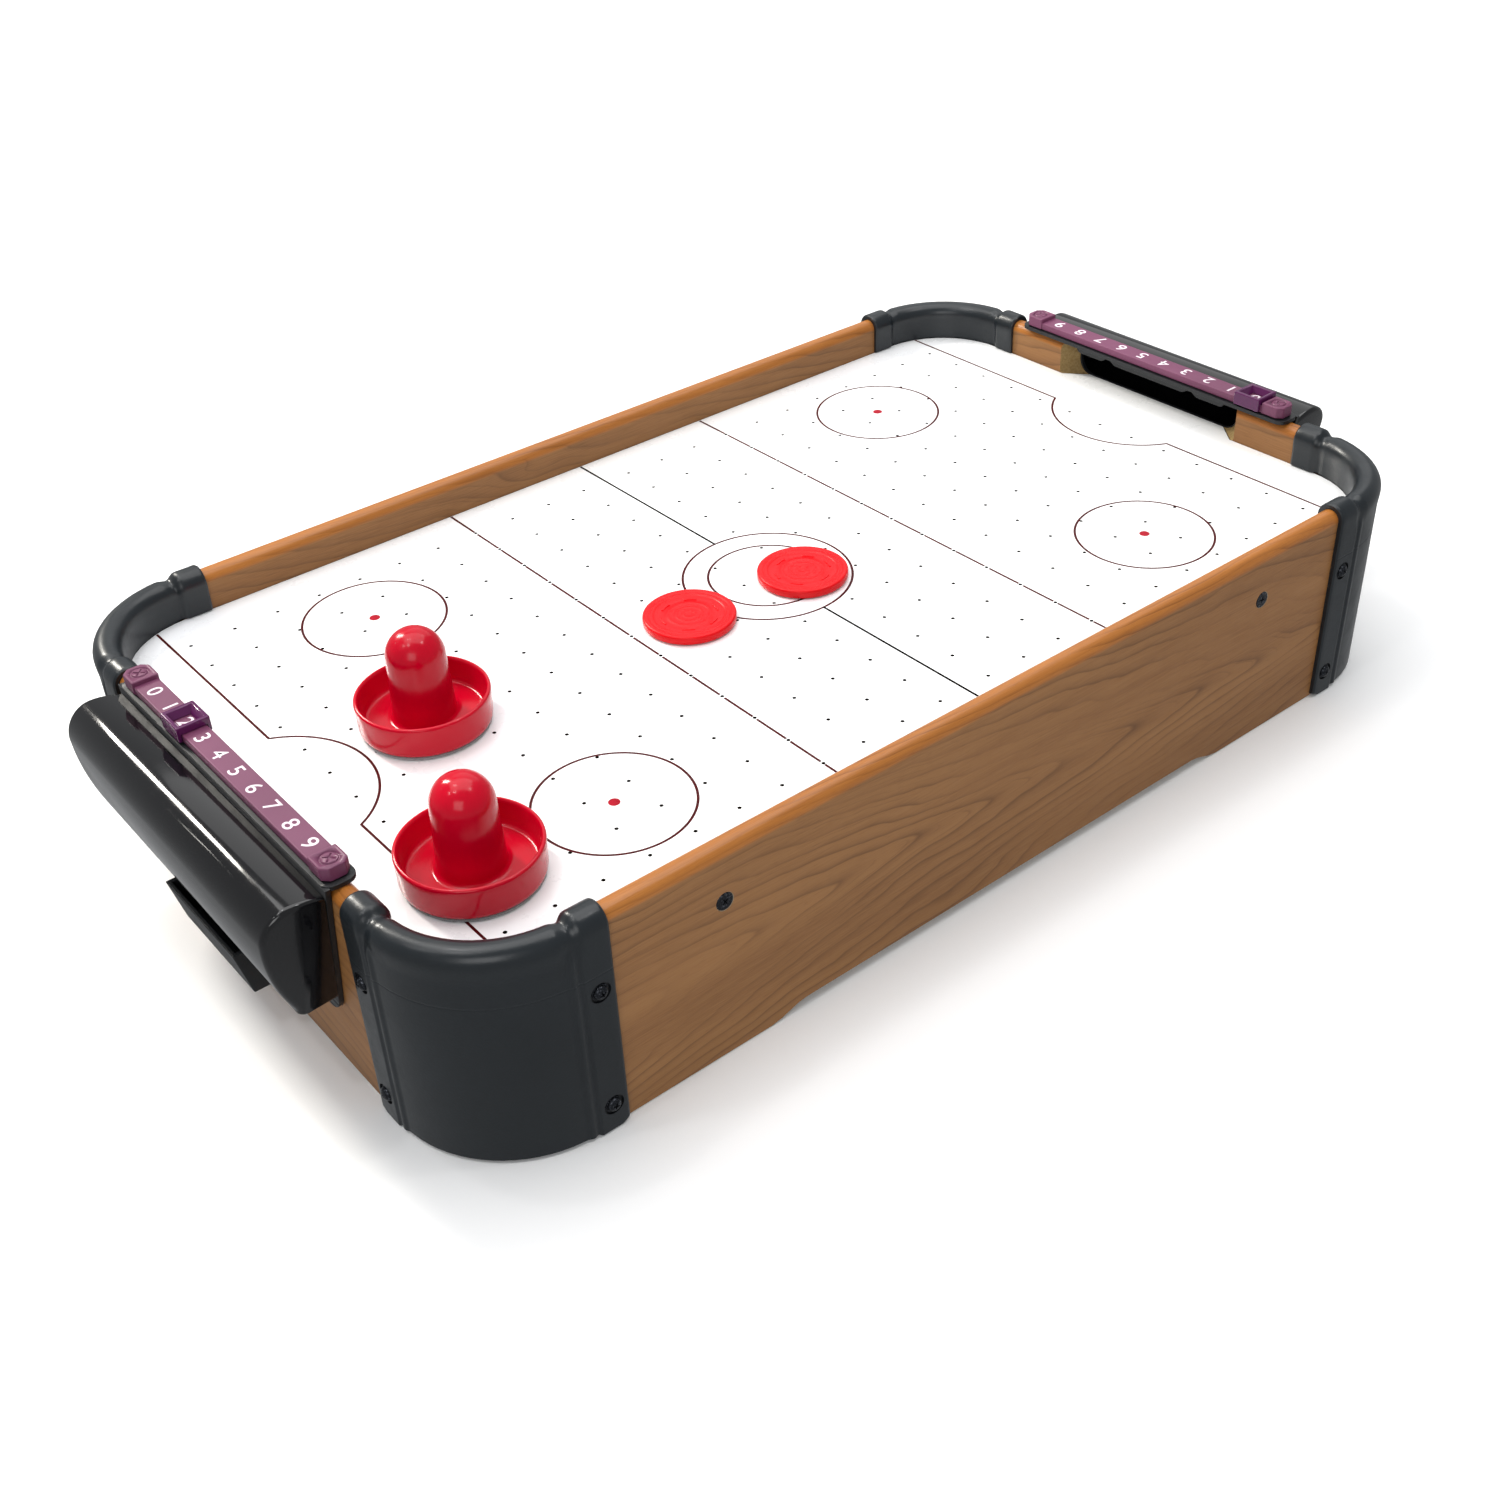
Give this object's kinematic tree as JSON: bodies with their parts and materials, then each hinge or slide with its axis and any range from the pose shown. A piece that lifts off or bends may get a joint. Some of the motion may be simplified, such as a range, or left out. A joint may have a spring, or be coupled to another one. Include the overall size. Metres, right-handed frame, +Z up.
{
  "type": "air hockey table",
  "caption": "Tabletop air hockey table: wood-effect walls, rounded black corners, perforated field, goals with trays, score sliders, pucks and mallets.",
  "frame": {"origin": "on the surface the table stands on, under the middle of the playing field", "axes": "+X along the table towards the far goal, +Y towards the left side wall seen from the near goal, +Z up"},
  "size_m": [0.5614, 0.3118, 0.1196],
  "materials": {
    "wood_board": "wood-effect foil on MDF, satin",
    "white_board": "white laminate, smooth, printed with thin dark red lines",
    "hardboard": "bare hardboard and batten wood, matte",
    "black_satin": "satin moulded plastic",
    "black_gloss": "glossy moulded plastic",
    "purple_plastic": "satin moulded plastic with white printed digits",
    "dark_purple_plastic": "glossy moulded plastic",
    "puck_red": "moulded plastic, semi-gloss",
    "mallet_red": "moulded plastic, glossy, slightly translucent",
    "grey_felt": "thin felt",
    "black_steel": "blackened steel screws",
    "steel": "plain steel",
    "cell_wrap": "plain printed sleeve",
    "lead_rubber": "insulated twin lead"
  },
  "bodies": {
    "table": {"batten_far": "hardboard", "batten_near": "hardboard", "battery_box": "black_satin", "battery_left_far": "cell_wrap", "battery_left_near": "cell_wrap", "battery_right_far": "cell_wrap", "battery_right_near": "cell_wrap", "chamber_floor": "hardboard", "corner_far_left": "black_satin", "corner_far_right": "black_satin", "corner_near_left": "black_satin", "corner_near_right": "black_satin", "corner_screw_far_left_end_high": "black_steel", "corner_screw_far_left_end_low": "black_steel", "corner_screw_far_left_side_high": "black_steel", "corner_screw_far_left_side_low": "black_steel", "corner_screw_far_right_end_high": "black_steel", "corner_screw_far_right_end_low": "black_steel", "corner_screw_far_right_side_high": "black_steel", "corner_screw_far_right_side_low": "black_steel", "corner_screw_near_left_end_high": "black_steel", "corner_screw_near_left_end_low": "black_steel", "corner_screw_near_left_side_high": "black_steel", "corner_screw_near_left_side_low": "black_steel", "corner_screw_near_right_end_high": "black_steel", "corner_screw_near_right_end_low": "black_steel", "corner_screw_near_right_side_high": "black_steel", "corner_screw_near_right_side_low": "black_steel", "end_wall_far": "wood_board", "end_wall_near": "wood_board", "fan_housing": "black_satin", "fan_lead": "lead_rubber", "goal_bracket_far": "black_satin", "goal_bracket_near": "black_satin", "goal_cover_far": "black_gloss", "goal_cover_near": "black_gloss", "motor": "steel", "playfield": "white_board", "puck_tray_far": "black_satin", "puck_tray_near": "black_satin", "score_scale_far": "purple_plastic", "score_scale_near": "purple_plastic", "side_screw_far_left": "black_steel", "side_screw_far_right": "black_steel", "side_screw_near_left": "black_steel", "side_screw_near_right": "black_steel", "side_wall_left": "wood_board", "side_wall_right": "wood_board"},
    "slider_near": {"score_slider_near": "dark_purple_plastic"},
    "slider_far": {"score_slider_far": "dark_purple_plastic"},
    "puck_a_body": {"puck_a": "puck_red"},
    "puck_b_body": {"puck_b": "puck_red"},
    "mallet_a_body": {"mallet_a": "mallet_red", "mallet_felt_a": "grey_felt"},
    "mallet_b_body": {"mallet_b": "mallet_red", "mallet_felt_b": "grey_felt"},
    "fan_wheel": {"impeller": "black_satin", "motor_shaft": "steel"},
    "door": {"battery_door": "black_satin"},
    "switch_knob": {"power_switch": "black_satin"}
  },
  "joints": [
    {"name": "near_score_slide", "type": "slide", "parent": "table", "child": "slider_near", "axis": [0, -1, 0], "range_m": [-0.0276, 0.0961]},
    {"name": "far_score_slide", "type": "slide", "parent": "table", "child": "slider_far", "axis": [0, 1, 0], "range_m": [-0.0002, 0.1235]},
    {"name": "puck_a_glide", "type": "slide", "parent": "table", "child": "puck_a_body", "axis": [0, 1, 0], "range_m": [-0.1144, 0.1288]},
    {"name": "puck_b_glide", "type": "slide", "parent": "table", "child": "puck_b_body", "axis": [0, 1, 0], "range_m": [-0.11, 0.1332]},
    {"name": "mallet_a_push", "type": "slide", "parent": "table", "child": "mallet_a_body", "axis": [1, 0, 0], "range_m": [-0.0485, 0.0725]},
    {"name": "mallet_b_push", "type": "slide", "parent": "table", "child": "mallet_b_body", "axis": [1, 0, 0], "range_m": [-0.0105, 0.1075]},
    {"name": "fan_spin", "type": "hinge", "parent": "table", "child": "fan_wheel", "pos_m": [0, 0, 0.035], "axis": [0, 0, 1], "continuous": true},
    {"name": "battery_door_slide", "type": "slide", "parent": "table", "child": "door", "axis": [-1, 0, 0], "range_m": [0, 0.06]},
    {"name": "power_switch_slide", "type": "slide", "parent": "table", "child": "switch_knob", "axis": [0, 1, 0], "range_m": [0, 0.004]}
  ]
}
